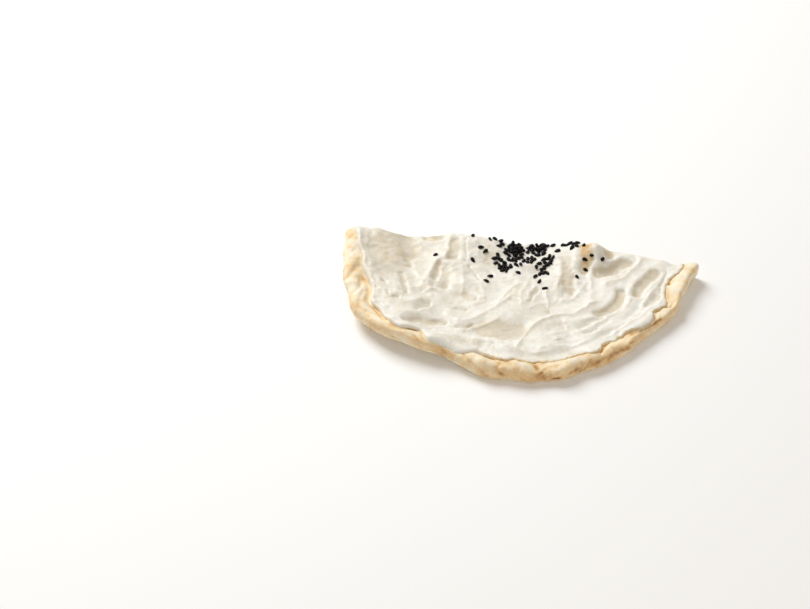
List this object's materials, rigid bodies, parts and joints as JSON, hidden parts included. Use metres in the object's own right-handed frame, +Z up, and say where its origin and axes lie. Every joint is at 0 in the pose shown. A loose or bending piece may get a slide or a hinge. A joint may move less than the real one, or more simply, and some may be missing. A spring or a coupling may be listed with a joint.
{
  "type": "half manakish with strained yoghurt spread",
  "caption": "Half of a round flatbread, cut straight across, with a puffed rim, a thick white strained yoghurt spread and black seeds heaped at the cut.",
  "frame": {"origin": "middle of the footprint, on the surface the bread lies on", "axes": "+X along the cut, towards the corner that lies flat; -Y towards the round edge; +Z up, out of the spread"},
  "size_m": [0.2238, 0.1157, 0.0181],
  "materials": {
    "bread": "dry baked crust, pale with golden patches",
    "labneh": "moist satin cream with black seeds"
  },
  "bodies": {
    "root": {"bread": "bread", "labneh": "labneh"}
  },
  "joints": []
}
